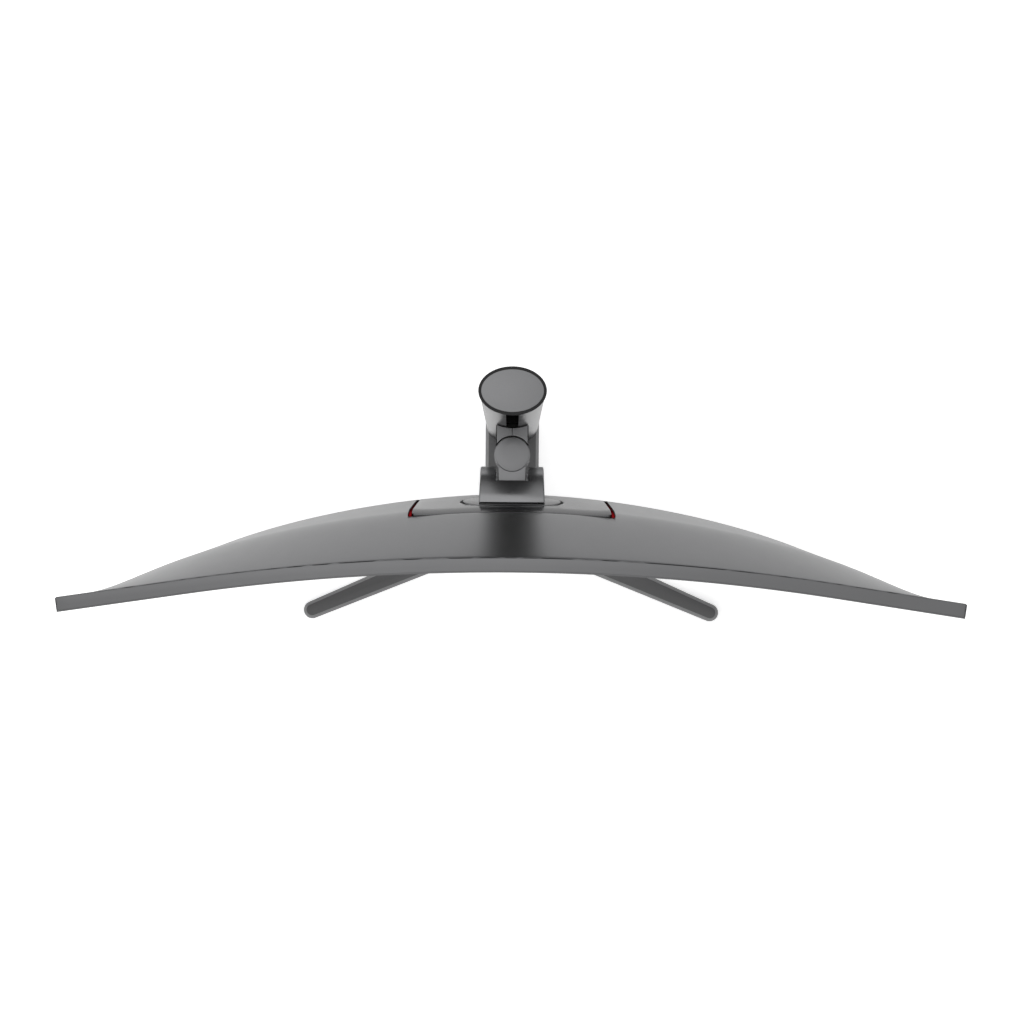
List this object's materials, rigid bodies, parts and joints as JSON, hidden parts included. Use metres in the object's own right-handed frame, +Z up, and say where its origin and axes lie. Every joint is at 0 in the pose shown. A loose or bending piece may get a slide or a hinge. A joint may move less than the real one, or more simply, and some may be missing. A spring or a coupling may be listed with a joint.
{
  "type": "computer monitor",
  "caption": "Curved ultrawide computer monitor with a bulged rear cover, on a tilting and swivelling arm that slides up an oval column over a two-legged base.",
  "frame": {"origin": "on the floor, at the middle of the bottom of the bounding box", "axes": "+X to the viewer's right along the screen, +Y to the rear, +Z up; the screen faces -Y"},
  "size_m": [0.808, 0.2501, 0.409],
  "materials": {
    "grey_shell": "satin grey moulded plastic with a fine even texture",
    "grey_paint": "satin grey paint on metal",
    "dark_paint": "satin dark grey paint on metal",
    "dark_plastic": "near-black moulded plastic",
    "screen": "black display panel with an anti-glare face",
    "white_plastic": "white diffusing plastic",
    "clear_plastic": "clear acrylic",
    "circuit_board": "green solder mask",
    "steel": "zinc-plated pressed steel",
    "spring_steel": "tempered spring steel",
    "rubber": "black rubber",
    "red_trim": "red plastic trim"
  },
  "bodies": {
    "stand": {"base_block": "dark_paint", "left_leg": "dark_paint", "right_leg": "dark_paint", "foot_pad_front_left": "rubber", "foot_pad_front_right": "rubber", "foot_pad_rear_left": "rubber", "foot_pad_rear_right": "rubber", "column_tube": "grey_paint", "column_rim": "dark_paint", "column_cap": "grey_paint", "column_foot_plate": "steel", "guide_rail": "steel", "spring_anchor": "steel", "spring_strip": "spring_steel"},
    "carriage": {"slider_carriage": "dark_plastic", "drum_axle": "steel", "rear_arm": "grey_paint", "swivel_bushing": "dark_plastic"},
    "drum": {"spring_drum": "spring_steel"},
    "swivel_arm": {"front_arm": "grey_paint", "swivel_cap": "grey_paint", "swivel_pin": "steel", "tilt_pin": "steel", "friction_washer_left": "steel", "friction_washer_right": "steel"},
    "display": {"lcd_panel": "screen", "bottom_chin": "dark_plastic", "diffuser_stack": "white_plastic", "light_guide": "clear_plastic", "led_bar": "white_plastic", "backplane": "steel", "middle_frame": "grey_shell", "rear_cover": "grey_shell", "centre_cover": "grey_shell", "accent_strip_left": "red_trim", "accent_strip_right": "red_trim", "mount_disc": "grey_shell", "mount_frame": "steel", "tilt_bracket": "steel", "hinge_hood": "grey_shell", "main_board": "circuit_board", "power_board": "circuit_board", "button_board": "circuit_board", "power_led_lens": "clear_plastic", "port_bracket": "steel", "power_inlet": "dark_plastic", "video_socket_left": "steel", "video_socket_middle": "steel", "video_socket_right": "steel", "audio_jack": "dark_plastic"},
    "stick_gimbal": {"joystick_gimbal": "dark_plastic"},
    "stick_stem": {"joystick_stem": "dark_plastic"},
    "stick_knob": {"joystick_knob": "dark_plastic"},
    "thumb_screw": {"thumb_screw": "steel"},
    "thumb_ring": {"thumb_ring": "steel"}
  },
  "joints": [
    {"name": "lift", "type": "slide", "parent": "stand", "child": "carriage", "axis": [0, 0, 1], "range_m": [0, 0.13], "deforming": ["spring_strip"]},
    {"name": "drum_spin", "type": "hinge", "parent": "carriage", "child": "drum", "pos_m": [0, 0.104, 0.182], "axis": [1, 0, 0], "range_deg": [-815, 5]},
    {"name": "swivel", "type": "hinge", "parent": "carriage", "child": "swivel_arm", "pos_m": [0, 0.0532, 0.226], "axis": [0, 0, 1], "range_deg": [-30, 30]},
    {"name": "tilt", "type": "hinge", "parent": "swivel_arm", "child": "display", "pos_m": [0, 0.023, 0.23], "axis": [-1, 0, 0], "range_deg": [-5, 20]},
    {"name": "stick_pitch", "type": "hinge", "parent": "display", "child": "stick_gimbal", "pos_m": [0, -0.0546, 0.051], "axis": [1, 0, 0], "range_deg": [-6, 6], "stiffness_Nm_per_rad": 0.008},
    {"name": "stick_roll", "type": "hinge", "parent": "stick_gimbal", "child": "stick_stem", "pos_m": [0, -0.0546, 0.051], "axis": [0, 1, 0], "range_deg": [-6, 6], "stiffness_Nm_per_rad": 0.008},
    {"name": "stick_press", "type": "slide", "parent": "stick_stem", "child": "stick_knob", "axis": [0, 0, 1], "range_m": [0, 0.0006], "stiffness_N_per_m": 150, "springref_m": -0.002},
    {"name": "thumb_turn", "type": "hinge", "parent": "stand", "child": "thumb_screw", "pos_m": [0, 0.1015, 0.0043], "axis": [0, 0, 1], "continuous": true},
    {"name": "ring_fold", "type": "hinge", "parent": "thumb_screw", "child": "thumb_ring", "pos_m": [0, 0.1015, 0.0043], "axis": [-1, 0, 0], "range_deg": [0, 90]}
  ],
  "couplings": [
    {"joint": "drum_spin", "follows": "lift", "rad_per_m": -108.7}
  ]
}
